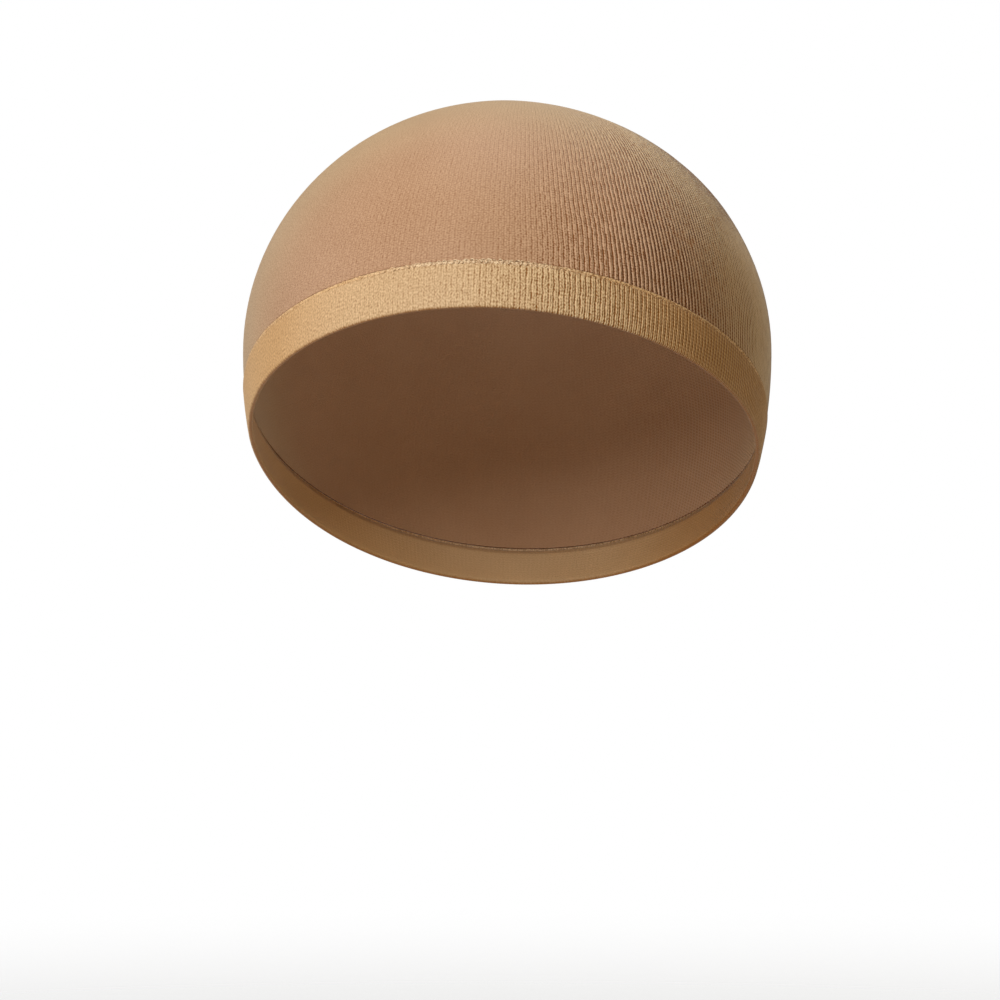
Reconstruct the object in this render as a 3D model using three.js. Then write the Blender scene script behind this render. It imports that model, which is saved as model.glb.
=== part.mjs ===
// Stocking wig cap: the knitted nylon cap that is worn under a wig, in the form that it takes
// when it is stretched over a head.
//
// Millimetres. +Z is up, the front of the cap faces -Y and the wearer's left is +X.
// The origin is the highest point inside the crown, where the head touches the cap.

import * as THREE from 'three';

// ---- Driving dimensions ----

// The outside of the cap follows a rounded head form. Its sizes are half axes, measured from
// the middle of the widest level.
const FORM = {
  halfBreadth: 76.0,
  backFullness: 0.072, // share that the half breadth gains at the back and loses at the front
  frontDepth: 90.5,
  backDepth: 102.4,
  crownHeight: 72.7,
  lowerHeight: 102.9,
};

// The hem lies in a plane that drops from the forehead to the nape, lifted over the ears.
// The cap's own axis stands square to this plane, and the wales of the knit all run to it.
const HEM = {
  level: -33.0, // height of the plane under the middle of the widest level
  dropDegrees: 27.2,
  axisY: -4.0, // where the axis crosses the plane
  earLift: 4.1,
};

const WALL = 1.0; // the single knit of the dome
const WELT = { width: 13.0, thickness: 1.8, proud: 0.4 }; // the double band that turns at the hem
const SEAM = { width: 0.9, proud: 0.75 }; // the ridge that links the welt to the dome
const GATHER = { radius: 3.75, proud: 1.0, bevel: 0.6 }; // the drawn-in end of the knit
const GAP = 0.3; // left between neighbouring pieces

// How finely the pieces are divided.
const COLUMNS = 72;
const DOME_ROWS = 21;
const FOLD_STEPS = 6;
const GATHER_SIDES = 24;
const HALVINGS = 40; // of the span searched for a point on the outside
const SLOPE_STEP = 0.01; // between the points that a slope is measured over

// ---- Head form ----

const QUARTER_TURN = Math.PI / 2;
const FULL_TURN = Math.PI * 2;
const dropAngle = THREE.MathUtils.degToRad(HEM.dropDegrees);
const crownInside = new THREE.Vector3(0, 0, FORM.crownHeight - WALL);

// The cap's own directions: along its axis, and in the hem plane to the left and to the back.
const axisUp = new THREE.Vector3(0, Math.sin(dropAngle), Math.cos(dropAngle));
const toLeft = new THREE.Vector3(1, 0, 0);
const toBack = new THREE.Vector3(0, Math.cos(dropAngle), -Math.sin(dropAngle));
const hemCentre = new THREE.Vector3(0, HEM.axisY, HEM.level - Math.tan(dropAngle) * HEM.axisY);

// 1 on the outside of the cap, less within it and more beyond it.
function formLevel(point) {
  const outwards = Math.hypot(point.x, point.y) || 1;
  const breadth = FORM.halfBreadth * (1 + (FORM.backFullness * point.y) / outwards);
  const depth = point.y < 0 ? FORM.frontDepth : FORM.backDepth;
  const height = point.z > 0 ? FORM.crownHeight : FORM.lowerHeight;
  return (point.x / breadth) ** 2 + (point.y / depth) ** 2 + (point.z / height) ** 2;
}

// The point where a straight line from inside the cap comes out through its outside.
function comeOut(start, direction) {
  const point = new THREE.Vector3();
  let near = 0;
  let far = FORM.backDepth + FORM.lowerHeight;
  for (let halving = 0; halving < HALVINGS; halving += 1) {
    const middle = (near + far) / 2;
    point.copy(start).addScaledVector(direction, middle);
    if (formLevel(point) < 1) {
      near = middle;
    } else {
      far = middle;
    }
  }
  return point;
}

// The direction square to the outside of the cap at a point on it.
function outwardNormal(point) {
  const slope = ['x', 'y', 'z'].map((letter) => {
    const ahead = point.clone();
    const behind = point.clone();
    ahead[letter] += SLOPE_STEP;
    behind[letter] -= SLOPE_STEP;
    return formLevel(ahead) - formLevel(behind);
  });
  return new THREE.Vector3(...slope).normalize();
}

// The direction that an azimuth points in, in the hem plane: 0 is the front of the cap.
function azimuthDirection(azimuth) {
  return toLeft.clone().multiplyScalar(Math.sin(azimuth)).addScaledVector(toBack, -Math.cos(azimuth));
}

// ---- Lines of the knit ----

// The hem, once around from the front.
class HemLine extends THREE.Curve {
  getPoint(t) {
    const azimuth = t * FULL_TURN;
    const lift = HEM.earLift * Math.sin(azimuth) ** 2;
    return comeOut(hemCentre.clone().addScaledVector(axisUp, lift), azimuthDirection(azimuth));
  }
}

// One wale, from the hem up the outside of the cap to the axis.
class Wale extends THREE.Curve {
  constructor(azimuth, hemPoint) {
    super();
    this.outwards = azimuthDirection(azimuth);
    const fromCentre = hemPoint.clone().sub(hemCentre);
    this.hemElevation = Math.atan2(fromCentre.dot(axisUp), fromCentre.dot(this.outwards));
  }

  getPoint(t) {
    const elevation = THREE.MathUtils.lerp(this.hemElevation, QUARTER_TURN, t);
    const direction = this.outwards.clone().multiplyScalar(Math.cos(elevation));
    return comeOut(hemCentre, direction.addScaledVector(axisUp, Math.sin(elevation)));
  }

  // A point of the knit: so far up this wale, and so far out from the cap's outside.
  place(along, out) {
    const point = this.getPointAt(along / this.getLength());
    return point.addScaledVector(outwardNormal(point), out).sub(crownInside);
  }
}

// Wales at even steps of length around the hem.
const hemLine = new HemLine();
const wales = Array.from({ length: COLUMNS }, (_, column) => {
  const t = hemLine.getUtoTmapping(column / COLUMNS);
  return new Wale(t * FULL_TURN, hemLine.getPoint(t));
});

// ---- Pieces ----

// A closed ring: the section of every wale, joined to the next. Each section is a list of
// { along, out }, that goes up the outside and down the inside.
function ring(name, sectionOf, material) {
  const sections = wales.map((wale) => sectionOf(wale).map(({ along, out }) => wale.place(along, out)));
  const rows = sections[0].length;
  const positions = sections.flat().flatMap((point) => point.toArray());
  const index = [];
  for (let column = 0; column < COLUMNS; column += 1) {
    const nextColumn = (column + 1) % COLUMNS;
    for (let row = 0; row < rows; row += 1) {
      const nextRow = (row + 1) % rows;
      const corner = column * rows + row;
      const beside = nextColumn * rows + row;
      const above = column * rows + nextRow;
      const across = nextColumn * rows + nextRow;
      index.push(corner, beside, across, corner, across, above);
    }
  }
  const geometry = new THREE.BufferGeometry();
  geometry.setAttribute('position', new THREE.Float32BufferAttribute(positions, 3));
  geometry.setIndex(index);
  geometry.computeVertexNormals();
  const mesh = new THREE.Mesh(geometry, material);
  mesh.name = name;
  return mesh;
}

// The dome: one even layer of knit, from the seam to the ring that is drawn in at the crown.
function domeSection(wale) {
  const start = WELT.width + SEAM.width / 2 + GAP;
  const end = wale.getLength() - GATHER.radius - GAP;
  const rows = Array.from({ length: DOME_ROWS + 1 }, (_, row) => row / DOME_ROWS);
  const outside = rows.map((share) => ({ along: THREE.MathUtils.lerp(start, end, share), out: 0 }));
  const inside = outside.map(({ along }) => ({ along, out: -WALL })).reverse();
  return [...outside, ...inside];
}

// The welt: the knit turned under at the hem in a round fold, two layers deep.
function weltSection() {
  const foldRadius = WELT.thickness / 2;
  const middle = WELT.proud - foldRadius;
  const top = WELT.width - SEAM.width / 2 - GAP;
  const shoulder = top - foldRadius / 2;
  const fold = Array.from({ length: FOLD_STEPS + 1 }, (_, step) => {
    const turn = (Math.PI * step) / FOLD_STEPS;
    return {
      along: foldRadius * (1 - Math.sin(turn)),
      out: middle - foldRadius * Math.cos(turn),
    };
  });
  return [
    ...fold,
    { along: top / 2, out: middle + foldRadius },
    { along: shoulder, out: middle + foldRadius },
    { along: top, out: middle + foldRadius / 2 },
    { along: top, out: middle - foldRadius / 2 },
    { along: shoulder, out: middle - foldRadius },
    { along: top / 2, out: middle - foldRadius },
  ];
}

// The seam: a fine raised ridge, flush with the dome inside.
function seamSection() {
  const half = SEAM.width / 2;
  const corners = [
    { along: -half, out: -WALL },
    { along: -half, out: SEAM.proud / 2 },
    { along: -half / 2, out: SEAM.proud },
    { along: half / 2, out: SEAM.proud },
    { along: half, out: SEAM.proud / 2 },
    { along: half, out: -WALL },
  ];
  return corners.map(({ along, out }) => ({ along: WELT.width + along, out }));
}

// The gather: a small round pad of knit that closes the dome on the axis.
function gather(material) {
  const { radius, proud, bevel } = GATHER;
  const profile = [
    [0, -WALL],
    [radius - bevel, -WALL],
    [radius, -WALL + bevel],
    [radius, 0],
    [radius - bevel, proud - bevel / 2],
    [radius / 2, proud],
    [0, proud],
  ];
  const outline = profile.map(([out, up]) => new THREE.Vector2(out, up));
  const mesh = new THREE.Mesh(new THREE.LatheGeometry(outline, GATHER_SIDES), material);
  const axisTop = comeOut(hemCentre, axisUp);
  mesh.name = 'crown_gather';
  mesh.position.copy(axisTop).sub(crownInside);
  mesh.quaternion.setFromUnitVectors(new THREE.Vector3(0, 1, 0), outwardNormal(axisTop));
  return mesh;
}

// ---- Materials ----

const sheerKnit = new THREE.MeshStandardMaterial({ color: 0xb98c66, roughness: 0.85, metalness: 0 });
const weltKnit = new THREE.MeshStandardMaterial({ color: 0xc99f68, roughness: 0.85, metalness: 0 });
const seamYarn = new THREE.MeshStandardMaterial({ color: 0xd8b57f, roughness: 0.8, metalness: 0 });

// ---- The cap ----

const group = new THREE.Group();
group.add(ring('crown_dome', domeSection, sheerKnit));
group.add(ring('welt_band', weltSection, weltKnit));
group.add(ring('welt_seam', seamSection, seamYarn));
group.add(gather(sheerKnit.clone()));

export default group;
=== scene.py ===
"""Stocking wig cap: a sheer knitted nylon cap, in the form that it takes when a head fills it.

Metres. +Z is up, the front of the cap faces -Y, and the origin is the highest point inside the crown.
"""

import math
from typing import NamedTuple

import bpy
import numpy as np
from bpy.props import FloatProperty, FloatVectorProperty, IntProperty, PointerProperty
from bpy.types import Operator, Panel, PropertyGroup
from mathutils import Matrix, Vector


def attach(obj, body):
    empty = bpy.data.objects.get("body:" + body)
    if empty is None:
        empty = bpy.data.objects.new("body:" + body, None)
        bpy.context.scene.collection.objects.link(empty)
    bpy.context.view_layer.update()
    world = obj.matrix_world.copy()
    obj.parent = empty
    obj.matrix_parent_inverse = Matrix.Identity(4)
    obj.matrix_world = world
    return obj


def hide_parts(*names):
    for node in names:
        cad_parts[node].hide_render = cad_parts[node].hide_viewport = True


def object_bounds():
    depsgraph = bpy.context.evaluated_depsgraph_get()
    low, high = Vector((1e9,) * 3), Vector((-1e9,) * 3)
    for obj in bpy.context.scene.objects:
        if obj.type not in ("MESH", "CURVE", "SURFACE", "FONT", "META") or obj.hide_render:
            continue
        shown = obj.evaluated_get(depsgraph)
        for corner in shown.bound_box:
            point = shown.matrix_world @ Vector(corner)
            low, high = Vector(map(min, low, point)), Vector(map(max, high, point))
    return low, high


bl_info = {
    "name": "Stocking Wig Cap",
    "version": (1, 0, 0),
    "blender": (4, 5, 0),
    "location": "View3D > Sidebar > Wig Cap",
    "description": "Builds a ribbed nylon wig cap in its stretched form, stitch by stitch",
    "category": "Add Mesh",
}

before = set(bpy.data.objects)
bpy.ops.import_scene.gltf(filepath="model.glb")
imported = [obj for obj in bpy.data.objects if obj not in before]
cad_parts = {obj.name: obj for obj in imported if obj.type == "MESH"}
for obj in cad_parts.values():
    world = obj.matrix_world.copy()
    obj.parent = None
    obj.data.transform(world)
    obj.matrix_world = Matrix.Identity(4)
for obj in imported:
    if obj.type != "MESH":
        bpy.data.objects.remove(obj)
CAD_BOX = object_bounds()

MM = 0.001
FULL_TURN = 2 * math.pi
SEED = 7
WALE_SAMPLES = 160  # points along each wale's line before it is divided by length
HEM_SAMPLES = 4096  # points around the hem before it is divided into wales
HALVINGS = 34  # steps in finding where a line comes out of the form
SLOPE_STEP = 0.01 * MM  # from a point to the two that its slope is taken from
SEW_GAP = 0.0005 * MM  # points that are closer than this are joined
COLUMNS_PER_WALE = 4
STITCH_LEAN = 0.8  # courses from the foot of a stitch's leg to its head
SLACK_POWER = 1.8  # over 1, the knit stays tight for longer on its way to the slack side
SIDE_CALM = 0.6  # how much of the slack, and of the painted shade that goes with it, is lost at the side
BACK_CALM = 0.75  # how much of it is lost at the back, and where that begins and ends
BACK_START = -20 * MM
BACK_END = 60 * MM
CROWN_CALM = 0.6  # how much of it is lost over the crown, and where that begins and ends
CROWN_START = -16 * MM
CROWN_END = -2 * MM
STITCH_MAP = "Stitches"  # the UV map that counts wales and courses
INNER_SIDE = "inner"  # the attribute that is 1 where the knit touches the head


# ---- Settings ----


def length(name, description, default):
    """A size in metres that a user can change."""
    return FloatProperty(name=name, description=description, default=default, unit="LENGTH", precision=5)


def angle(name, description, default):
    """A turn in radians that a user can change."""
    return FloatProperty(name=name, description=description, default=default, unit="ROTATION")


def share(name, description, default):
    """A plain number, mostly from 0 to 1."""
    return FloatProperty(name=name, description=description, default=default, precision=3)


def colour(name, description, default):
    """A colour in scene-linear red, green and blue."""
    return FloatVectorProperty(
        name=name, description=description, default=default, subtype="COLOR", size=3, min=0, max=1
    )


class HeadForm(PropertyGroup):
    """The rounded form that the cap is stretched over, as half axes from its widest level."""

    half_breadth: length("Half breadth", "From the middle to the side, over the knit", 76.0 * MM)
    back_fullness: share("Back fullness", "Share of the half breadth gained at the back", 0.072)
    front_depth: length("Front depth", "From the middle to the forehead", 90.5 * MM)
    back_depth: length("Back depth", "From the middle to the back of the head", 102.4 * MM)
    crown_height: length("Crown height", "From the widest level up to the crown", 72.7 * MM)
    lower_height: length("Lower height", "Half axis below the widest level", 102.9 * MM)
    crown_wall: length("Crown wall", "From the origin up to the outside of the crown", 1.0 * MM)


class HemShape(PropertyGroup):
    """Where the hem runs on the form."""

    level: length("Level", "Height of the hem plane under the middle of the widest level", -33.0 * MM)
    drop: angle("Drop", "How far the hem plane tips down to the nape", math.radians(27.2))
    axis_y: length("Axis", "Where the cap's own axis crosses the hem plane", -4.0 * MM)
    ear_lift: length("Ear lift", "How far the hem rises over the ears", 4.1 * MM)
    front_ease: share("Front ease", "How much wider the ribs are spread over the forehead", 0.095)
    front_lean: angle("Front lean", "How far the side ribs turn to the front on their way up", 0.122)
    lean_height: share("Lean height", "Part of the way up where the ribs stop turning", 0.352)


class KnitSizes(PropertyGroup):
    """The stitches of the tube."""

    wales: IntProperty(name="Wales", description="Ribs around the hem", default=376, min=24)
    course: length("Course", "Height of one row of stitches", 0.93 * MM)
    dome_wall: length("Dome wall", "Thickness of the single knit", 0.6 * MM)
    rib_depth: length("Rib depth", "Height of a rib over the valley beside it", 0.70 * MM)
    wander: length("Wander", "How far a rib strays to its side", 0.18 * MM)
    ring_radius: length("Ring radius", "Where the drawn-in end of the dome stops", 4.05 * MM)
    # The share and places below set the ribs' depth, and also the painted shade in the colour of their
    # valleys, which deepens towards the wearer's left, the side turned from the key light.
    tight_share: share("Tight share", "Rib depth left on the wearer's right, where it is tight", 0.055)
    shaded_slack_start: length("Slack start", "Where the knit begins to slacken, to the wearer's left", -5 * MM)
    shaded_slack_end: length("Slack end", "Where the knit is fully slack, to the wearer's left", 52 * MM)
    even_start: length("Even start", "Where the ribs begin to even out again, at the side", 60 * MM)
    even_end: length("Even end", "Where the ribs are even again, at the side", 70 * MM)
    pleats: IntProperty(name="Pleats", description="Gathers around the drawn-in end", default=47, min=8)
    pleat_depth: length("Pleat depth", "Height of the gathers beside the ring", 0.9 * MM)


class WeltSizes(PropertyGroup):
    """The double band at the hem and the seam above it."""

    width: length("Width", "From the fold to the middle of the seam", 13.0 * MM)
    thickness: length("Thickness", "Both layers of the turned band", 1.4 * MM)
    # The share and places below set the stitches' depth, and also the painted shade in the colour of the
    # band's valleys, which deepens towards the wearer's left, the side turned from the key light.
    tight_share: share("Tight share", "Stitch depth left on the wearer's right", 0.11)
    shaded_slack_start: length("Slack start", "Where the band begins to slacken, to the wearer's left", -29 * MM)
    shaded_slack_end: length("Slack end", "Where the band is fully slack, to the wearer's left", 42 * MM)
    even_start: length("Even start", "Where the band's ribs begin to even out again, at the side", 32 * MM)
    even_end: length("Even end", "Where the band's ribs are even again, at the side", 66 * MM)
    proud: length("Proud", "How far the band stands out from the dome", 0.4 * MM)
    stitch_depth: length("Stitch depth", "Relief of the band's stitches", 0.32 * MM)
    seam_width: length("Seam width", "Width of the linked course", 1.3 * MM)


class YarnColours(PropertyGroup):
    """The yarn's colours, on the ribs and between them."""

    dome_rib: colour("Dome rib", "Crest of a rib in the dome", (0.648, 0.412, 0.245))
    # Partly the sheer knit's dark gaps, partly painted shade in the valleys between the ribs.
    dome_valley: colour("Dome valley", "Between two ribs of the dome", (0.215, 0.066, 0.006))
    # Lighter and more golden than the rib colour: partly painted sheen of filaments seen edge-on at the
    # sides and top, partly the knit hiding its sheer gaps when seen edge-on there.
    dome_side_sheen: colour("Dome side", "The dome's knit at the sides and top", (0.695, 0.50, 0.285))
    welt_rib: colour("Welt rib", "Crest of a rib in the band", (0.86, 0.625, 0.35))
    # Darker and deeper than the band's rib colour: painted shade where the band turns to the sides.
    welt_side_shade: colour("Welt side", "The band's knit at the sides", (0.817, 0.517, 0.231))
    # Partly the band's dark gaps, partly painted shade between its ribs; the seam's dark specks take it
    # too.
    welt_valley: colour("Welt valley", "Between two ribs of the band", (0.26, 0.09, 0.005))
    seam: colour("Seam", "The linked course", (0.90, 0.70, 0.445))
    sheen: colour("Sheen", "Light caught by the fine filaments at a low angle", (0.95, 0.97, 0.88))


class StageSettings(PropertyGroup):
    """The studio around the cap."""

    camera_distance: length("Camera distance", "From the middle of the cap", 1300 * MM)
    camera_turn: angle("Camera turn", "How far the camera stands round to the wearer's left", 0.086)
    camera_height: length("Camera height", "Above the widest level", 6.7 * MM)
    aim_height: length("Aim height", "Above the widest level", -42.35 * MM)
    aim_side: length("Aim side", "To the camera's right of the cap's middle", -1.47 * MM)
    lens: FloatProperty(name="Lens", description="Focal length", default=162.1, unit="CAMERA")
    floor_drop: length("Floor drop", "From the lowest point of the cap down to the floor", 230 * MM)
    floor_radius: length("Floor radius", "Where the floor has faded away", 2200 * MM)


class WigCap(PropertyGroup):
    """All settings of the wig cap."""

    form: PointerProperty(type=HeadForm)
    hem: PointerProperty(type=HemShape)
    knit: PointerProperty(type=KnitSizes)
    welt: PointerProperty(type=WeltSizes)
    yarn: PointerProperty(type=YarnColours)
    stage: PointerProperty(type=StageSettings)


# ---- The form and the lines of the knit ----


def middle_of_form(form):
    """The middle of the widest level."""
    return np.array([0, 0, form.crown_wall - form.crown_height])


def form_level(form, points):
    """1 on the outside of the cap, less within it and more beyond it. Points are from the middle."""
    x, y, z = np.moveaxis(points, -1, 0)
    outwards = np.maximum(np.hypot(x, y), SLOPE_STEP)
    breadth = form.half_breadth * (1 + form.back_fullness * y / outwards)
    depth = np.where(y < 0, form.front_depth, form.back_depth)
    height = np.where(z > 0, form.crown_height, form.lower_height)
    return (x / breadth) ** 2 + (y / depth) ** 2 + (z / height) ** 2


def come_out(form, start, direction):
    """Where lines from inside the cap come out through its outside."""
    near = np.zeros(direction.shape[:-1])
    far = np.full(direction.shape[:-1], form.back_depth + form.lower_height)
    for _ in range(HALVINGS):
        middle = (near + far) / 2
        inside = form_level(form, start + direction * middle[..., None]) < 1
        near = np.where(inside, middle, near)
        far = np.where(inside, far, middle)
    return start + direction * near[..., None]


def unit(vectors):
    """The same directions, one long."""
    return vectors / np.linalg.norm(vectors, axis=-1, keepdims=True)


def blend(first, second, part):
    """first where part is 0, second where it is 1, and between them elsewhere."""
    return first + (second - first) * part


def eased(value, start, end):
    """0 before start, 1 after end, and smooth between them."""
    part = np.clip((value - start) / (end - start), 0, 1)
    return part * part * (3 - 2 * part)


def outward_normal(form, points):
    """The directions square to the outside of the cap."""
    steps = np.eye(3) * SLOPE_STEP
    slopes = [form_level(form, points + step) - form_level(form, points - step) for step in steps]
    return unit(np.stack(slopes, -1))


class Wales:
    """Lines up the outside of the cap from the hem to its axis."""

    def __init__(self, cap, columns):
        self.form, self.hem = cap.form, cap.hem
        drop = self.hem.drop
        self.axis = np.array([0, math.sin(drop), math.cos(drop)])
        self.back = np.array([0, math.cos(drop), -math.sin(drop)])
        self.left = np.array([1.0, 0, 0])
        self.centre = np.array([0, self.hem.axis_y, self.hem.level - math.tan(drop) * self.hem.axis_y])
        every = np.linspace(0, FULL_TURN, HEM_SAMPLES + 1)
        steps = np.linalg.norm(np.diff(self.hem_points(every), axis=0), axis=1)
        around = np.concatenate([[0], np.cumsum(steps)])
        self.hem_length = around[-1]
        shares = around / self.hem_length
        spread = shares - self.hem.front_ease / FULL_TURN * np.sin(FULL_TURN * shares)
        azimuths = np.interp(np.arange(columns + 1) / columns, spread, every)
        self.points = come_out(self.form, self.centre, self.directions(azimuths))
        steps = np.linalg.norm(np.diff(self.points, axis=1), axis=2)
        self.travelled = np.pad(np.cumsum(steps, axis=1), ((0, 0), (1, 0)))
        self.lengths = self.travelled[:, -1]

    def directions(self, azimuths):
        """From the centre to the points of each wale, that turns a little to the front on its way up."""
        from_centre = self.hem_points(azimuths) - self.centre
        away = np.sum(from_centre * self.outwards(azimuths), axis=1)
        lowest = np.arctan2(from_centre @ self.axis, away)[:, None]
        elevation = blend(lowest, math.pi / 2, np.linspace(0, 1, WALE_SAMPLES))
        risen = eased(elevation / (math.pi / 2), 0, self.hem.lean_height)
        turned = self.hem.front_lean * np.sin(azimuths)[:, None] * risen
        outwards = self.outwards(azimuths[:, None] - turned)
        return outwards * np.cos(elevation)[..., None] + self.axis * np.sin(elevation)[..., None]

    def outwards(self, azimuths):
        """Directions in the hem plane: 0 is the front of the cap."""
        return np.sin(azimuths)[..., None] * self.left - np.cos(azimuths)[..., None] * self.back

    def hem_points(self, azimuths):
        """Points of the hem's fold, on the outside of the form."""
        lift = self.hem.ear_lift * np.sin(azimuths) ** 2
        return come_out(self.form, self.centre + np.outer(lift, self.axis), self.outwards(azimuths))

    def place(self, along, out):
        """Points so far up each wale and so far out of the form."""
        columns, rows = np.broadcast_shapes(along.shape, out.shape)
        along = np.broadcast_to(along, (columns, rows))
        points = np.empty((columns, rows, 3))
        for column in range(columns):
            for part in range(3):
                points[column, :, part] = np.interp(
                    along[column], self.travelled[column], self.points[column, :, part]
                )
        points += outward_normal(self.form, points) * out[..., None]
        return points + middle_of_form(self.form)


def patches(random, columns, rows, across, up):
    """A slow, patchy noise from -1 to 1 over a tube, that meets itself around the tube."""
    coarse = random.uniform(-1, 1, (across, up))
    coarse = np.concatenate([coarse, coarse[:1]])

    def neighbours(count, last):
        """The coarse point below each fine one, and how far it is from there to the next."""
        at = np.linspace(0, last, count)
        low = np.minimum(at.astype(int), last - 1)
        return low, eased(at - low, 0, 1)

    column, part_across = neighbours(columns, across)
    row, part_up = neighbours(rows, up - 1)
    part_across = part_across[:, None]
    below = blend(coarse[column][:, row], coarse[column + 1][:, row], part_across)
    above = blend(coarse[column][:, row + 1], coarse[column + 1][:, row + 1], part_across)
    return blend(below, above, part_up)


def slack_and_shade(sizes, place, ease):
    """How slack the knit is, which sets the depth of the ribs and the painted shade in the colour of their
    valleys: least on the wearer's right, most on the left, the side turned from the key light, and even
    again at the side.

    place is x, y and z, either as arrays or as a shader's wires, and ease is the one that takes them.
    """
    across, back, up = place
    slackened = ease(across, sizes.shaded_slack_start, sizes.shaded_slack_end) ** SLACK_POWER
    slackened = slackened * (1 - SIDE_CALM * ease(across, sizes.even_start, sizes.even_end))
    slackened = slackened * (1 - BACK_CALM * ease(back, BACK_START, BACK_END))
    slackened = slackened * (1 - CROWN_CALM * ease(up, CROWN_START, CROWN_END))
    return blend(sizes.tight_share, 1, slackened)


# ---- Making meshes ----


def deselect():
    """Leaves nothing selected."""
    for each in bpy.context.selected_objects:
        each.select_set(False)


def edit(piece, step):
    """Runs a step of edit-mode operators on all of a piece."""
    deselect()
    bpy.context.view_layer.objects.active = piece
    piece.select_set(True)
    bpy.ops.object.mode_set(mode="EDIT")
    bpy.ops.mesh.select_all(action="SELECT")
    step()
    bpy.ops.object.mode_set(mode="OBJECT")


def turn_outwards():
    """Turns all faces outwards."""
    bpy.ops.mesh.normals_make_consistent(inside=False)


def sew():
    """Joins the edges that lie on each other."""
    bpy.ops.mesh.remove_doubles(threshold=SEW_GAP)
    turn_outwards()


def knit_tube(name, points, wale, course, inner):
    """A closed body of knit: a flat grid, laid on points (columns by rows) and sewn along its edges.

    wale and course count the stitches at each point, and inner is 1 on the side that touches the head.
    """
    columns, rows = points.shape[:2]
    deselect()
    bpy.ops.mesh.primitive_grid_add(
        x_subdivisions=columns - 1, y_subdivisions=rows - 1, size=2, calc_uvs=True
    )
    piece = bpy.context.object
    piece.name = name
    mesh = piece.data
    mesh.name = name
    flat = np.empty(len(mesh.vertices) * 3, np.float32)
    mesh.vertices.foreach_get("co", flat)
    flat = flat.reshape(-1, 3)
    column = np.rint((flat[:, 0] + 1) / 2 * (columns - 1)).astype(int)
    row = np.rint((flat[:, 1] + 1) / 2 * (rows - 1)).astype(int)
    mesh.vertices.foreach_set("co", points[column, row].astype(np.float32).ravel())
    corner_vertex = np.empty(len(mesh.loops), np.int32)
    mesh.loops.foreach_get("vertex_index", corner_vertex)
    shape = (columns, rows)
    stitches = np.stack([np.broadcast_to(wale, shape), np.broadcast_to(course, shape)], -1)
    corners = stitches[column, row][corner_vertex]
    mesh.uv_layers[0].name = STITCH_MAP
    mesh.uv_layers[0].uv.foreach_set("vector", corners.astype(np.float32).ravel())
    side = mesh.attributes.new(INNER_SIDE, "FLOAT", "POINT")
    side.data.foreach_set("value", np.broadcast_to(inner, shape)[column, row].astype(np.float32))
    mesh.update()
    edit(piece, sew)
    bpy.ops.object.shade_smooth()
    return piece


def closed(points):
    """The points, with their last row and their last column laid on the first."""
    points[:, -1] = points[:, 0]
    points[-1] = points[0]
    return points


def finish_piece(piece, material, node):
    """Gives a piece its material, hangs it on the root body and hides the part that it stands for."""
    piece.data.materials.clear()
    piece.data.materials.append(material)
    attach(piece, "root")
    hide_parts(node)


# ---- Shaders ----


class Wire:
    """A node's output. Arithmetic on it adds the nodes that do it."""

    def __init__(self, shader, socket):
        self.shader = shader
        self.socket = socket

    def __add__(self, other):
        return self.shader.math("ADD", self, other)

    def __radd__(self, other):
        return self.shader.math("ADD", other, self)

    def __sub__(self, other):
        return self.shader.math("SUBTRACT", self, other)

    def __rsub__(self, other):
        return self.shader.math("SUBTRACT", other, self)

    def __mul__(self, other):
        return self.shader.math("MULTIPLY", self, other)

    def __rmul__(self, other):
        return self.shader.math("MULTIPLY", other, self)

    def __truediv__(self, other):
        return self.shader.math("DIVIDE", self, other)

    def __pow__(self, other):
        return self.shader.math("POWER", self, other)


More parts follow.
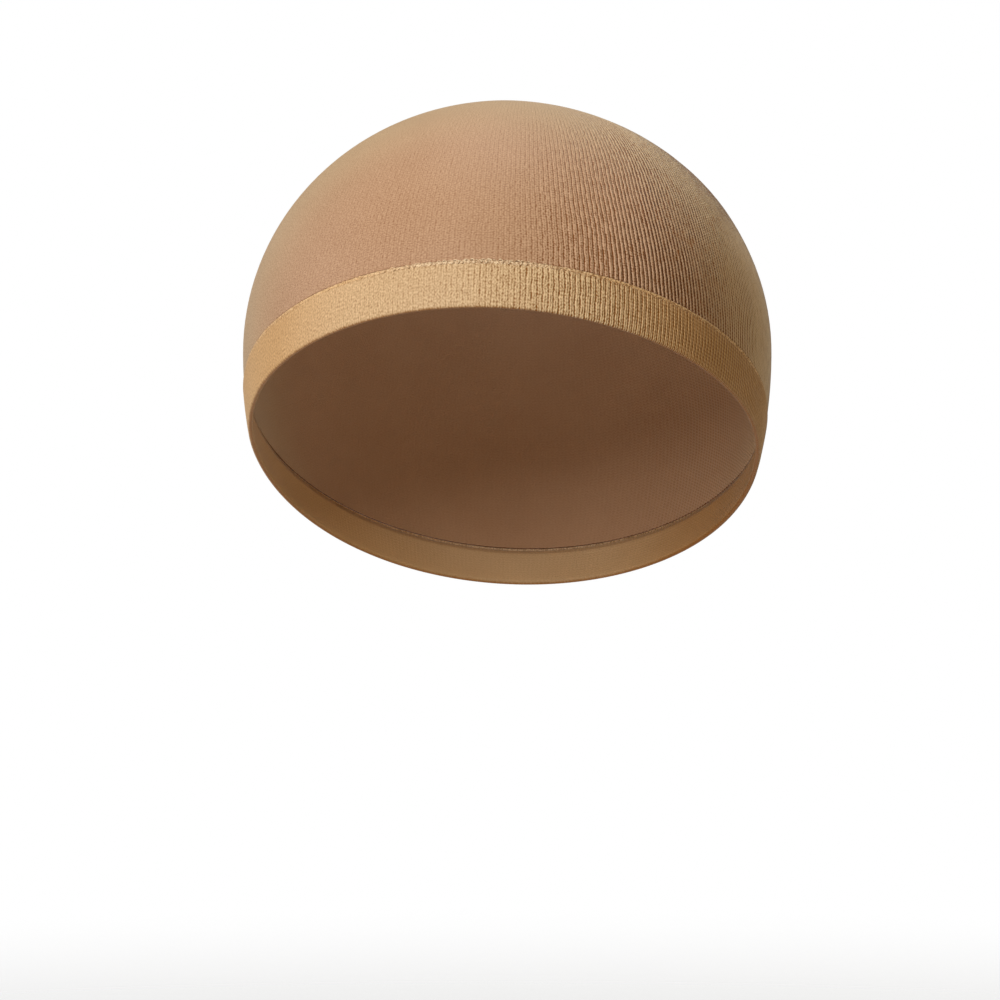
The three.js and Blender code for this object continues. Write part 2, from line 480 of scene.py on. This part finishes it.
class Shader:
    """The node tree of a material or of the world, built from its values to its surface."""

    def __init__(self, owner):
        self.owner = owner
        owner.use_nodes = True
        self.tree = owner.node_tree
        self.tree.nodes.clear()

    def node(self, kind, settings=None, sockets=None, output=0):
        """Adds a node, sets it up, and returns one of its outputs."""
        made = self.tree.nodes.new(kind)
        for key, value in (settings or {}).items():
            setattr(made, key, value)
        for key, value in (sockets or {}).items():
            if isinstance(value, Wire):
                self.tree.links.new(value.socket, made.inputs[key])
            else:
                made.inputs[key].default_value = value
        return Wire(self, made.outputs[output]) if made.outputs else None

    def math(self, operation, first, second=0.0):
        """One sum."""
        return self.node("ShaderNodeMath", {"operation": operation}, {0: first, 1: second})

    def wave(self, turns):
        """1 at whole turns and -1 at half turns."""
        return self.math("COSINE", turns * FULL_TURN)

    def ease(self, value, low, high):
        """0 below low, 1 above high, and smooth between them."""
        settings = {"interpolation_type": "SMOOTHSTEP"}
        sockets = {"Value": value, "From Min": low, "From Max": high}
        return self.node("ShaderNodeMapRange", settings, sockets)

    def mix(self, factor, first, second):
        """One colour over another."""
        sockets = {0: factor, 6: rgba(first), 7: rgba(second)}
        return self.node("ShaderNodeMix", {"data_type": "RGBA"}, sockets, 2)

    def noise(self, vector, scale, detail):
        """A smooth random value around a half."""
        sockets = {"Vector": vector, "Scale": scale, "Detail": detail}
        return self.node("ShaderNodeTexNoise", None, sockets)

    def stray(self, wale, course, swings, detail=1.0):
        """A random value around 0, that swings so many times across a wale and up a course."""
        place = self.node("ShaderNodeCombineXYZ", None, {0: wale * swings[0], 1: course * swings[1]})
        return self.noise(place, 1.0, detail) - 0.5

    def parts(self, vector):
        """The three values of a vector."""
        first = self.node("ShaderNodeSeparateXYZ", None, {0: vector})
        return [Wire(self, each) for each in first.socket.node.outputs]

    def stitches(self):
        """How many wales around and how many courses up a point is."""
        return self.parts(self.node("ShaderNodeUVMap", {"uv_map": STITCH_MAP}))[:2]

    def inner(self):
        """1 on the side of the knit that touches the head."""
        return self.node("ShaderNodeAttribute", {"attribute_name": INNER_SIDE}, None, "Fac")

    def place(self):
        """The point itself, in metres."""
        return self.node("ShaderNodeTexCoord", None, None, "Object")

    def cloth(self, base, height, depth, roughness, sheen_colour, sheen):
        """A matte cloth surface with a relief and a sheen of fine filaments."""
        bump = self.node(
            "ShaderNodeBump", None, {"Strength": 1.0, "Distance": depth, "Height": height}
        )
        sockets = {
            "Base Color": rgba(base),
            "Roughness": roughness,
            "IOR": 1.5,
            "Specular IOR Level": 0.25,
            "Sheen Weight": sheen,
            "Sheen Roughness": 0.38,
            "Sheen Tint": rgba(sheen_colour),
            "Normal": bump,
        }
        surface = self.node("ShaderNodeBsdfPrincipled", None, sockets)
        self.node("ShaderNodeOutputMaterial", None, {"Surface": surface})
        return self.owner


def rgba(value):
    """A colour with its alpha, or a wire as it is."""
    return value if isinstance(value, Wire) else (*value, 1.0)


def stitch_relief(shader, wale, course):
    """The outside of plain knit: each stitch is a V, whose two legs lean out from its wale's middle."""
    off_middle = shader.math("ABSOLUTE", shader.math("FRACT", wale + 0.5) - 0.5) * 2
    leg = 0.5 - 0.5 * shader.wave(off_middle)
    overlap = 0.5 + 0.5 * shader.wave(course - off_middle * STITCH_LEAN)
    return leg * (0.5 + 0.5 * overlap)


def purl_relief(shader, wale, course):
    """The inside of plain knit: rows of round loops, set off by half a stitch between wales."""
    arch_height = 0.22
    return 0.5 + 0.5 * shader.wave(course + shader.wave(wale) * arch_height)


class KnitLook(NamedTuple):
    """How a knit's yarn looks. Swings are counted across one wale and up one course."""

    name: str
    contrast: float  # between the ribs and the valleys of slack knit, painted shade that deepens towards the wearer's left
    graininess: float  # of slack yarn
    painted_side_shade: float  # how much painted shade darkens the knit where it turns to the side, on the wearer's left
    sheen: float
    front: tuple = (0.2, 0.65)  # shares of the front depth where the ribs' own colour begins and is full
    grain_swings: tuple = (2.2, 2.5)
    bend_swings: tuple = (0.6, 0.3)
    bend: float = 0.38  # how many wales the line of a rib strays
    side_bend: float = 0.20  # and at the side
    strand_swings: tuple = (2.0, 0.3)
    strand: float = 1.35  # light and dark of single strands
    side_strand: float = 0.5  # and at the side
    patch_swings: tuple = (0.06, 0.05)
    patch: float = 0.12  # light and dark of slow patches
    crest: float = 0.5  # light of a rib's crest
    stitch: float = 1.2  # light of its stitches
    shade: float = 0.7  # what both are lowered by, so that they come out around 0
    side_ribs: float = 1.5  # how much stronger the ribs' painted light and shade are at the side
    side_grain: float = 0.3  # how much of the grain is left there
    slack_power: float = 0.7  # under 1, the grain stays strong where the ribs fade
    tight_grain: float = 0.35  # grain of knit that isn't slack
    inner_calm: float = 0.8  # how much plainer the inside is
    edge_shade: float = 0.5  # painted shade: how dark the turned edge between outside and inside is
    cover: tuple = (-0.1, 0.9)  # light that shows all valley and light that shows all rib
    crest_height: float = 0.4  # shares of the relief
    stitch_height: float = 1.6
    strand_height: float = 1.5
    grain_height: float = 0.85
    tight_grain_height: float = 0.3
    relief: float = 0.14 * MM  # in the material alone, over the ribs that are modelled
    roughness: float = 0.55


def knit_material(cap, sizes, colours, look):
    """Ribbed nylon: paler crests, dark valleys that are partly the sheer knit and partly painted shade,
    stitches along them, and uneven patches.
    """
    shader = Shader(bpy.data.materials.new(look.name))
    rib, valley, side = (tuple(each) for each in colours)
    wale, course = shader.stitches()
    inner = shader.inner()
    x, y, z = shader.parts(shader.place())
    slack = slack_and_shade(sizes, (x, y, z), shader.ease)
    # This grows towards the wearer's left, the side turned from the key light: it changes the yarn's lines
    # there, and also carries painted shade.
    side_on = shader.ease(x, sizes.shaded_slack_end / 2, sizes.even_end)
    bend = shader.stray(wale, course, look.bend_swings)
    wale = wale + bend * blend(look.bend, look.side_bend, side_on)
    crest = 0.5 + 0.5 * shader.wave(wale)
    stitch = blend(stitch_relief(shader, wale, course), purl_relief(shader, wale, course), inner)
    strand = shader.stray(wale, course, look.strand_swings)
    patch = shader.stray(wale, course, look.patch_swings, detail=2.0)
    grain = shader.stray(wale, course, look.grain_swings, detail=0.0)
    grain = grain * blend(1, look.side_grain, side_on)

    # Painted light and shade of the ribs in the colour: the valleys darken most towards the wearer's left,
    # the side turned from the key light, and least where the knit is tight on the right.
    ribs = (crest * look.crest + stitch * look.stitch - look.shade) * blend(1, look.side_ribs, side_on)
    ribs = ribs + strand * blend(look.strand, look.side_strand, side_on)
    light = ribs * slack * look.contrast
    light = light + grain * (slack**look.slack_power * look.graininess + look.tight_grain)
    light = 0.5 + light * (1 - look.inner_calm * inner) + patch * look.patch
    # Painted shade: a dark line along the turned edge between outside and inside, and a darker side
    # towards the wearer's left.
    edge_shade_mask = inner * (1 - inner) * 4
    light = light - edge_shade_mask * look.edge_shade - side_on * look.painted_side_shade
    # Towards the sides the side colour takes over: painted sheen on the dome, painted shade on the band.
    facing = shader.ease(shader.math("ABSOLUTE", y) / cap.form.front_depth, *look.front)
    base = shader.mix(shader.ease(light, *look.cover), valley, shader.mix(facing, side, rib))

    relief = crest * look.crest_height + stitch * look.stitch_height + strand * look.strand_height
    grain_relief = grain * (slack + look.tight_grain_height) * (look.graininess * look.grain_height)
    relief = relief * slack + grain_relief
    return shader.cloth(base, relief, look.relief, look.roughness, tuple(cap.yarn.sheen), look.sheen)


def dome_colours(yarn):
    """The colours of the single knit: its ribs, valleys with their painted shade, and sides with their
    painted sheen.
    """
    return (yarn.dome_rib, yarn.dome_valley, yarn.dome_side_sheen)


# ---- Pieces ----


class CapPiece:
    """What the operators of the pieces share."""

    bl_options = {"REGISTER", "UNDO"}

    def execute(self, context):
        self.make(context.scene.wig_cap)
        return {"FINISHED"}


class WIGCAP_OT_dome(CapPiece, Operator):
    """Knits the dome: one sheer layer, ribbed from the seam to its drawn-in end"""

    bl_idname = "wigcap.dome"
    bl_label = "Dome"

    outer_rows = 47
    inner_rows = 16
    edge_share = 0.0015  # a row this close to the lower edge keeps the rounding of its shading small
    depth_patches = (90, 12)  # around the dome and up it
    depth_change = 0.25  # how far the ribs' depth strays from patch to patch
    thin_power = 1.5  # how much sooner the ribs flatten than the wales draw together
    stray_rows = 24
    wales_per_stray = 3
    pleat_reach = 14 * MM  # from the drawn-in end down to where the pleats fade
    pleat_power = 1.5  # how suddenly they fade there
    pleat_rise = 12 * MM  # from the drawn-in end down to where they aren't held in
    pleat_sink = 0.4  # how far they are lowered, as a share of their depth

    def rows(self):
        """How far up each row lies, outside and back down inside, and which rows are inside."""
        up = np.append(0, np.linspace(self.edge_share, 1, self.outer_rows - 1))
        down = np.append(np.linspace(1, self.edge_share, self.inner_rows - 1), 0)
        rise = np.concatenate([up, down, up[:1]])
        inner = np.concatenate([0 * up, 0 * down + 1, [0]])
        return rise, inner

    def ribs(self, knit, random, wale, smooth, fineness):
        """How far the ribs stand out: deep in slack knit, and flat where the wales draw together."""
        uneven = 1 + self.depth_change * patches(random, *fineness.shape, *self.depth_patches)
        slack = slack_and_shade(knit, np.moveaxis(smooth, -1, 0), eased)
        return np.cos(FULL_TURN * wale) / 2 * knit.rib_depth * fineness**self.thin_power * uneven * slack

    def pleats(self, knit, wale, to_end):
        """How far the pleats stand out, beside the drawn-in end."""
        pleat = np.cos(FULL_TURN * wale * knit.pleats / knit.wales) - self.pleat_sink
        fade = np.exp(-((to_end / self.pleat_reach) ** self.pleat_power))
        return pleat * fade * knit.pleat_depth * np.minimum(to_end / self.pleat_rise, 1)

    def strays(self, knit, random, smooth, fineness):
        """How far the ribs stray to their sides."""
        sideways = unit(np.roll(smooth, -1, 0) - np.roll(smooth, 1, 0))
        sideways[0] = unit(smooth[1] - smooth[-2])
        sideways[-1] = sideways[0]
        across = knit.wales // self.wales_per_stray
        stray = patches(random, *fineness.shape, across, self.stray_rows)
        return sideways * (stray * fineness * knit.wander)[..., None]

    def make(self, cap):
        knit, welt = cap.knit, cap.welt
        random = np.random.default_rng(SEED)
        columns = knit.wales * COLUMNS_PER_WALE
        wales = Wales(cap, columns)
        rise, inner = self.rows()
        start = welt.width + welt.seam_width / 2
        along = blend(start, wales.lengths[:, None] - knit.ring_radius, rise)
        wale = np.arange(columns + 1)[:, None] / COLUMNS_PER_WALE
        smooth = wales.place(along, np.zeros(along.shape))
        pitch = np.linalg.norm(np.roll(smooth, -1, 0) - smooth, axis=2)
        pitch[-1] = pitch[0]
        fineness = np.minimum(pitch * columns / wales.hem_length, 1)
        relief = self.ribs(knit, random, wale, smooth, fineness)
        relief += self.pleats(knit, wale, wales.lengths[:, None] - along)
        points = wales.place(along, relief - inner * knit.dome_wall)
        points += self.strays(knit, random, smooth, fineness)
        dome = knit_tube("dome", closed(points), wale, along / knit.course, inner)
        look = KnitLook("sheer knit", contrast=1.95, graininess=1.9, painted_side_shade=0.02, sheen=0.26)
        material = knit_material(cap, knit, dome_colours(cap.yarn), look)
        finish_piece(dome, material, "crown_dome")


class WIGCAP_OT_welt(CapPiece, Operator):
    """Knits the welt: the double band, turned in a round fold at the hem"""

    bl_idname = "wigcap.welt"
    bl_label = "Welt"

    outer_rows = 40
    fold_rows = 7
    inner_rows = 8
    rib_share = 0.5  # of the stitches' depth
    leg_share = 0.2
    depth_patches = (120, 8)  # around the band and up it
    depth_change = 0.3  # how far the stitches' depth strays from patch to patch
    fold_fade = 3 * MM  # from the fold up to where the stitches have their full depth
    fold_share = 0.2  # what is left of their depth at the fold

    def section(self, welt):
        """The band's section as places up the wale and out, with the direction square to each."""
        radius = welt.thickness / 2
        middle = welt.proud - radius
        top = welt.width - welt.seam_width / 2
        up = np.linspace(radius, top, self.outer_rows)
        turn = np.linspace(0, math.pi, self.fold_rows)[1:-1]
        down = np.linspace(top, radius, self.inner_rows)
        along = np.concatenate([up, down, radius * (1 - np.sin(turn[::-1])), up[:1]])
        square_out = np.concatenate([0 * up + 1, 0 * down - 1, np.cos(turn[::-1]), [1]])
        square_along = np.concatenate([0 * up, 0 * down, -np.sin(turn[::-1]), [0]])
        out = middle + radius * square_out
        inner = (1 - square_out) / 2
        return along, out, square_along, square_out, inner

    def make(self, cap):
        knit, welt = cap.knit, cap.welt
        random = np.random.default_rng(SEED + 1)
        columns = knit.wales * COLUMNS_PER_WALE
        wales = Wales(cap, columns)
        along, out, square_along, square_out, inner = self.section(welt)
        wale = np.arange(columns + 1)[:, None] / COLUMNS_PER_WALE
        course = along[None] / knit.course
        off_middle = np.abs((wale + 0.5) % 1 - 0.5) * 2
        rib = np.cos(FULL_TURN * wale) * self.rib_share
        legs = np.cos(FULL_TURN * (course - off_middle * STITCH_LEAN)) * self.leg_share
        uneven = 1 + self.depth_change * patches(random, columns + 1, len(along), *self.depth_patches)
        smooth = wales.place(np.broadcast_to(along, uneven.shape), np.zeros(uneven.shape))
        slack = slack_and_shade(welt, np.moveaxis(smooth, -1, 0), eased)
        fade = np.clip(along / self.fold_fade, self.fold_share, 1)
        relief = (rib + legs) * welt.stitch_depth * uneven * slack * fade
        points = wales.place(along + relief * square_along, out + relief * square_out)
        band = knit_tube("welt", closed(points), wale, course, inner)
        look = KnitLook(
            "welt knit",
            contrast=0.85,
            graininess=1.1,
            painted_side_shade=0.24,
            sheen=0.2,
            front=(0.55, 0.95),
            grain_swings=(3.2, 1.5),
        )
        yarn = cap.yarn
        material = knit_material(cap, welt, (yarn.welt_rib, yarn.welt_valley, yarn.welt_side_shade), look)
        finish_piece(band, material, "welt_band")


class WIGCAP_OT_seam(CapPiece, Operator):
    """Links the welt to the dome: a chain of small loops over a fine core"""

    bl_idname = "wigcap.seam"
    bl_label = "Seam"

    core_sides = 8
    core_share = 0.9  # of the seam's width
    core_radius = 0.32 * MM  # outwards
    core_sink = 0.12 * MM  # from the form in to the core's middle
    loop_steps = 12
    loop_sides = 5
    loop_reach = 0.66  # of the way to the next wale, from a loop's middle
    loop_share = 0.97  # of the seam's width
    loop_taper = 0.28  # how much narrower a loop is ahead, and wider behind
    loop_lift = 0.20 * MM
    loop_tilt = 0.12 * MM  # how much higher a loop lies ahead
    yarn_radius = 0.15 * MM
    loop_change = (0.28, 0.3, 0.4)  # how far loops differ in reach, width and lift
    side_size = 0.5  # loops at the sides, against their full width and lift
    front_gain = 0.55  # what is added to that in the middle
    front_reach = 0.35  # share of the half breadth over which that fades
    up_step = 1 * MM  # from the seam to a point above it, that shows which way is up
    twist_scale = 2000.0  # specks of twisted yarn in a metre
    twist_edge = (0.42, 0.58)  # where a speck's dark begins and is full
    twist_shade = 0.45  # dark of the specks, and the painted shade that the wearer's left adds to it
    side_speck_shade = 0.3
    bright_end = 8 * MM  # from the middle to where the seam's own colour begins to fade
    band_start = 40 * MM  # from the middle to where it has the band's colour
    relief = 0.06 * MM
    roughness = 0.75
    sheen = 0.15

    def core(self, cap, wales):
        """The core that the loops lie on."""
        welt = cap.welt
        turn = np.linspace(0, FULL_TURN, self.core_sides + 1)
        along = welt.width + np.cos(turn) * welt.seam_width / 2 * self.core_share
        out = np.sin(turn) * self.core_radius - self.core_sink
        points = wales.place(along[None], np.broadcast_to(out, (len(wales.lengths), len(out))))
        points[-1] = points[0]
        wale = np.arange(len(wales.lengths))[:, None] / 2
        return knit_tube("seam", points, wale, along[None] / cap.knit.course, 0.0)

    def loop(self, cap, wales):
        """One long loop of yarn, that rises over the start of the next."""
        knit, welt = cap.knit, cap.welt
        pitch = wales.hem_length / knit.wales
        turn = np.arange(self.loop_steps) / self.loop_steps * FULL_TURN
        ahead = np.cos(turn)
        width = np.sin(turn) * (1 - self.loop_taper * ahead) / 2 * welt.seam_width * self.loop_share
        lift = self.loop_lift + self.loop_tilt * ahead
        line = np.stack([ahead * self.loop_reach * pitch, width, lift], -1)
        forward = unit(np.roll(line, -1, 0) - np.roll(line, 1, 0))
        side = unit(np.cross(forward, [0, 0, 1.0]))
        over = np.cross(side, forward)
        roll = (np.arange(self.loop_sides) / self.loop_sides * FULL_TURN)[None, :, None]
        rings = side[:, None] * np.cos(roll) + over[:, None] * np.sin(roll)
        return (line[:, None] + self.yarn_radius * rings).reshape(-1, 3)

    def faces(self, loops):
        """The four corners of each face, for so many loops."""
        count = self.loop_steps * self.loop_sides
        step, side = np.divmod(np.arange(count), self.loop_sides)
        next_side = (side + 1) % self.loop_sides
        step = step * self.loop_sides
        next_step = (step + self.loop_sides) % count
        corners = [step + side, next_step + side, next_step + next_side, step + next_side]
        return (np.arange(loops)[:, None, None] * count + np.stack(corners, 1)).reshape(-1, 4)

    def chain(self, cap, wales):
        """A loop at each wale, in one mesh."""
        knit, welt = cap.knit, cap.welt
        flat = np.zeros((len(wales.lengths), 1))
        line = wales.place(np.full((1, 1), welt.width), flat)[:-1, 0]
        above = wales.place(np.full((1, 1), welt.width + self.up_step), flat)[:-1, 0]
        around = unit(np.roll(line, -1, 0) - np.roll(line, 1, 0))
        up = unit(above - line)
        stations = np.arange(0, knit.wales * 2, 2)
        axes = np.stack([around, up, np.cross(around, up)], 1)[stations]
        random = np.random.default_rng(SEED + 2)
        sizes = 1 + random.uniform(-1, 1, (knit.wales, 3)) * self.loop_change
        across = line[stations, 0] / cap.form.half_breadth
        middle = np.exp(-((across / self.front_reach) ** 2))
        sizes[:, 1:] *= (self.side_size + self.front_gain * middle)[:, None]
        rings = self.loop(cap, wales)[None] * sizes[:, None]
        placed = line[stations][:, None] + np.einsum("nrk,nkd->nrd", rings, axes)
        mesh = bpy.data.meshes.new("seam loops")
        mesh.from_pydata(placed.reshape(-1, 3).tolist(), [], self.faces(knit.wales).tolist())
        mesh.uv_layers.new(name=STITCH_MAP)
        mesh.attributes.new(INNER_SIDE, "FLOAT", "POINT")
        loops = bpy.data.objects.new("seam loops", mesh)
        bpy.context.scene.collection.objects.link(loops)
        edit(loops, turn_outwards)
        bpy.ops.object.shade_smooth()
        return loops

    def material(self, cap):
        """Twisted yarn: pale, with darker specks that painted shade adds to towards the wearer's left, and
        the band's colour, with its painted side shade, towards the sides.
        """
        yarn, welt = cap.yarn, cap.welt
        shader = Shader(bpy.data.materials.new("seam yarn"))
        twist = shader.noise(shader.place(), self.twist_scale, 2.0)
        x = shader.parts(shader.place())[0]
        aside = shader.ease(shader.math("ABSOLUTE", x), self.bright_end, self.band_start)
        beside = (Vector(yarn.welt_rib) + Vector(yarn.welt_side_shade)) / 2
        bright = shader.mix(aside, tuple(yarn.seam), tuple(beside))
        # Painted shade: more dark specks towards the wearer's left, the side turned from the key light.
        shaded_side = shader.ease(x, welt.shaded_slack_start, welt.shaded_slack_end)
        shade = self.twist_shade + self.side_speck_shade * shaded_side
        cover = 1 - (1 - shader.ease(twist, *self.twist_edge)) * shade
        base = shader.mix(cover, tuple(yarn.welt_valley), bright)
        return shader.cloth(base, twist, self.relief, self.roughness, tuple(yarn.sheen), self.sheen)

    def make(self, cap):
        wales = Wales(cap, cap.knit.wales * 2)
        seam = self.core(cap, wales)
        loops = self.chain(cap, wales)
        deselect()
        loops.select_set(True)
        seam.select_set(True)
        bpy.context.view_layer.objects.active = seam
        bpy.ops.object.join()
        finish_piece(seam, self.material(cap), "welt_seam")


class GatherPoint(NamedTuple):
    """A point of the gather's section."""

    reach: float  # from its middle, as a share of its radius
    height: float  # over the form, in millimetres


class WIGCAP_OT_gather(CapPiece, Operator):
    """Draws the knit's end together: a small pleated round at the crown"""

    bl_idname = "wigcap.gather"
    bl_label = "Gather"

    folds = 16
    columns_per_fold = 6
    overlap = 0.3 * MM  # how far it reaches under the dome's drawn-in end
    fold_height = 0.16 * MM
    fold_full = 0.625  # share of its radius from which the folds have their full height
    back_height = -0.4 * MM  # what lies under this touches the head
    section = (
        GatherPoint(0.06, 0.35),
        GatherPoint(0.18, 0.5),
        GatherPoint(0.34, 0.85),
        GatherPoint(0.52, 1.0),
        GatherPoint(0.70, 0.95),
        GatherPoint(0.84, 0.72),
        GatherPoint(0.94, 0.4),
        GatherPoint(1.0, 0.1),
        GatherPoint(0.98, -0.35),
        GatherPoint(0.8, -0.6),
        GatherPoint(0.5, -0.7),
        GatherPoint(0.2, -0.7),
        GatherPoint(0.06, -0.7),  # this one is laid on the first
    )

    def make(self, cap):
        knit, form = cap.knit, cap.form
        line = Wales(cap, 1)
        top = line.points[0, -1]
        normal = outward_normal(form, top[None])[0]
        side = unit(np.cross(normal, line.left))
        across = np.cross(side, normal)
        columns = self.folds * self.columns_per_fold
        turn = np.linspace(0, FULL_TURN, columns + 1)[:, None]
        part, height = np.array(self.section).T
        reach = part * (knit.ring_radius + self.overlap)
        height = height * MM
        inner = (height < self.back_height).astype(float)
        fold = np.cos(turn * self.folds) * self.fold_height * np.minimum(part / self.fold_full, 1)
        rise = height + fold * (1 - inner)
        points = (
            top
            + middle_of_form(form)
            + across * (np.cos(turn) * reach)[..., None]
            + side * (np.sin(turn) * reach)[..., None]
            + normal * rise[..., None]
        )
        wale = np.linspace(0, self.folds * 2, columns + 1)[:, None]
        gather = knit_tube("gather", closed(points), wale, (reach / knit.course)[None], inner[None])
        look = KnitLook("gathered knit", contrast=1.2, graininess=1.3, painted_side_shade=0.0, sheen=0.16)
        material = knit_material(cap, knit, dome_colours(cap.yarn), look)
        finish_piece(gather, material, "crown_gather")


# ---- The studio ----


class SoftLight(NamedTuple):
    """A soft panel that looks at the middle of the cap and isn't seen itself."""

    name: str
    turn: float  # degrees round to the wearer's left from straight ahead
    rise: float  # degrees up from level
    away: float  # metres from the middle of the cap
    breadth: float  # metres
    height: float
    power: float  # watts
    tint: tuple


SOFT_LIGHTS = (
    SoftLight("key", -24, 25, 1.8, 0.4, 1.0, 21.5, (1, 1, 1.05)),
    SoftLight("side", -95, 15, 1.8, 0.8, 1.3, 6.5, (1, 1.02, 1.15)),
    SoftLight("top", 180, 70, 1.6, 1.0, 1.0, 9.7, (1, 1, 1)),
    SoftLight("upper", 75, 50, 1.6, 0.8, 0.8, 2.5, (1, 0.9, 0.65)),
    SoftLight("rim", 100, 15, 1.6, 0.6, 1.0, 0.2, (1, 0.8, 0.4)),
    SoftLight("behind", 150, 35, 1.6, 0.6, 1.0, 2.6, (1, 1, 0.9)),
)


def hang(panel, target):
    """Hangs a soft panel around a point."""
    turn, rise = math.radians(panel.turn), math.radians(panel.rise)
    outwards = Vector((math.sin(turn) * math.cos(rise), -math.cos(turn) * math.cos(rise), math.sin(rise)))
    data = bpy.data.lights.new(panel.name, "AREA")
    data.shape = "RECTANGLE"
    data.size = panel.breadth
    data.size_y = panel.height
    data.energy = panel.power
    data.color = panel.tint
    light = bpy.data.objects.new(panel.name, data)
    light.location = target + outwards * panel.away
    light.rotation_euler = (-outwards).to_track_quat("-Z", "Y").to_euler()
    light.visible_camera = False
    bpy.context.scene.collection.objects.link(light)


class WIGCAP_OT_stage(Operator):
    """Sets up the pale floor, the soft lights and the camera"""

    bl_idname = "wigcap.stage"
    bl_label = "Stage"

    floor_sides = 96
    floor_colour = (0.85, 0.9, 0.97)
    floor_roughness = 0.8
    floor_gloss = 0.1
    floor_fade = (0.12, 0.5)  # shares of its radius where it begins to fade and has faded away
    room_tint = (1, 0.76, 0.45)  # of the dim light from all around
    room_strength = 0.2

    def camera(self, stage, middle):
        """The camera, a little to the wearer's left and nearly level with the widest part."""
        turn = stage.camera_turn
        right = Vector((math.cos(turn), math.sin(turn), 0))
        away = Vector((math.sin(turn), -math.cos(turn), 0)) * stage.camera_distance
        place = middle + away + Vector((0, 0, stage.camera_height))
        aim = middle + right * stage.aim_side + Vector((0, 0, stage.aim_height))
        data = bpy.data.cameras.new("camera")
        data.lens = stage.lens
        data.sensor_width = 36
        data.clip_end = 100
        camera = bpy.data.objects.new("camera", data)
        camera.location = place
        camera.rotation_euler = (aim - place).to_track_quat("-Z", "Y").to_euler()
        bpy.context.scene.collection.objects.link(camera)
        bpy.context.scene.camera = camera

    def floor(self, stage):
        """A pale round floor that fades into the white around it."""
        bpy.ops.mesh.primitive_circle_add(
            vertices=self.floor_sides,
            radius=stage.floor_radius,
            fill_type="NGON",
            location=(0, 0, CAD_BOX[0][2] - stage.floor_drop),
        )
        floor = bpy.context.object
        floor.name = "floor"
        shader = Shader(bpy.data.materials.new("pale floor"))
        x, y = shader.parts(shader.place())[:2]
        out = shader.math("SQRT", x * x + y * y) / stage.floor_radius
        sockets = {
            "Base Color": rgba(self.floor_colour),
            "Roughness": self.floor_roughness,
            "Specular IOR Level": self.floor_gloss,
        }
        pale = shader.node("ShaderNodeBsdfPrincipled", None, sockets)
        clear = shader.node("ShaderNodeBsdfTransparent")
        fade = shader.ease(out, *self.floor_fade)
        surface = shader.node("ShaderNodeMixShader", None, {0: fade, 1: pale, 2: clear})
        shader.node("ShaderNodeOutputMaterial", None, {"Surface": surface})
        floor.data.materials.append(shader.owner)

    def world(self):
        """White where it is seen, and dim as a light."""
        shader = Shader(bpy.data.worlds.new("white studio"))
        seen = shader.node("ShaderNodeLightPath", output="Is Camera Ray")
        white = shader.node("ShaderNodeBackground", None, {"Color": (1, 1, 1, 1), "Strength": 1.0})
        sockets = {"Color": rgba(self.room_tint), "Strength": self.room_strength}
        dim = shader.node("ShaderNodeBackground", None, sockets)
        surface = shader.node("ShaderNodeMixShader", None, {0: seen, 1: dim, 2: white})
        shader.node("ShaderNodeOutputWorld", None, {"Surface": surface})
        bpy.context.scene.world = shader.owner

    def execute(self, context):
        cap = context.scene.wig_cap
        stage = cap.stage
        middle = Vector(middle_of_form(cap.form))
        self.camera(stage, middle)
        self.floor(stage)
        self.world()
        for panel in SOFT_LIGHTS:
            hang(panel, middle)
        context.scene.view_settings.view_transform = "Standard"
        context.scene.view_settings.look = "None"
        return {"FINISHED"}


class WIGCAP_PT_parts(Panel):
    """The pieces of the wig cap, in the order that they are made"""

    bl_idname = "WIGCAP_PT_parts"
    bl_label = "Wig Cap"
    bl_space_type = "VIEW_3D"
    bl_region_type = "UI"
    bl_category = "Wig Cap"

    def draw(self, context):
        layout = self.layout
        cap = context.scene.wig_cap
        for group in (cap.form, cap.hem, cap.knit, cap.welt, cap.yarn, cap.stage):
            box = layout.box()
            box.label(text=group.bl_rna.name)
            for name in group.bl_rna.properties.keys():
                if name not in ("rna_type", "name"):
                    box.prop(group, name)
        for operator in PIECE_OPERATORS:
            layout.operator(operator.bl_idname)


PIECE_OPERATORS = (WIGCAP_OT_dome, WIGCAP_OT_welt, WIGCAP_OT_seam, WIGCAP_OT_gather, WIGCAP_OT_stage)
CLASSES = (
    HeadForm,
    HemShape,
    KnitSizes,
    WeltSizes,
    YarnColours,
    StageSettings,
    WigCap,
    *PIECE_OPERATORS,
    WIGCAP_PT_parts,
)


def register():
    """Makes the classes and settings known to Blender."""
    for each in CLASSES:
        bpy.utils.register_class(each)
    bpy.types.Scene.wig_cap = PointerProperty(type=WigCap)


def unregister():
    """Takes the classes and settings out of Blender."""
    del bpy.types.Scene.wig_cap
    for each in reversed(CLASSES):
        bpy.utils.unregister_class(each)


def main():
    """Builds the cap and its studio."""
    register()
    bpy.ops.wigcap.dome()
    bpy.ops.wigcap.welt()
    bpy.ops.wigcap.seam()
    bpy.ops.wigcap.gather()
    bpy.ops.wigcap.stage()


if __name__ == "__main__":
    main()
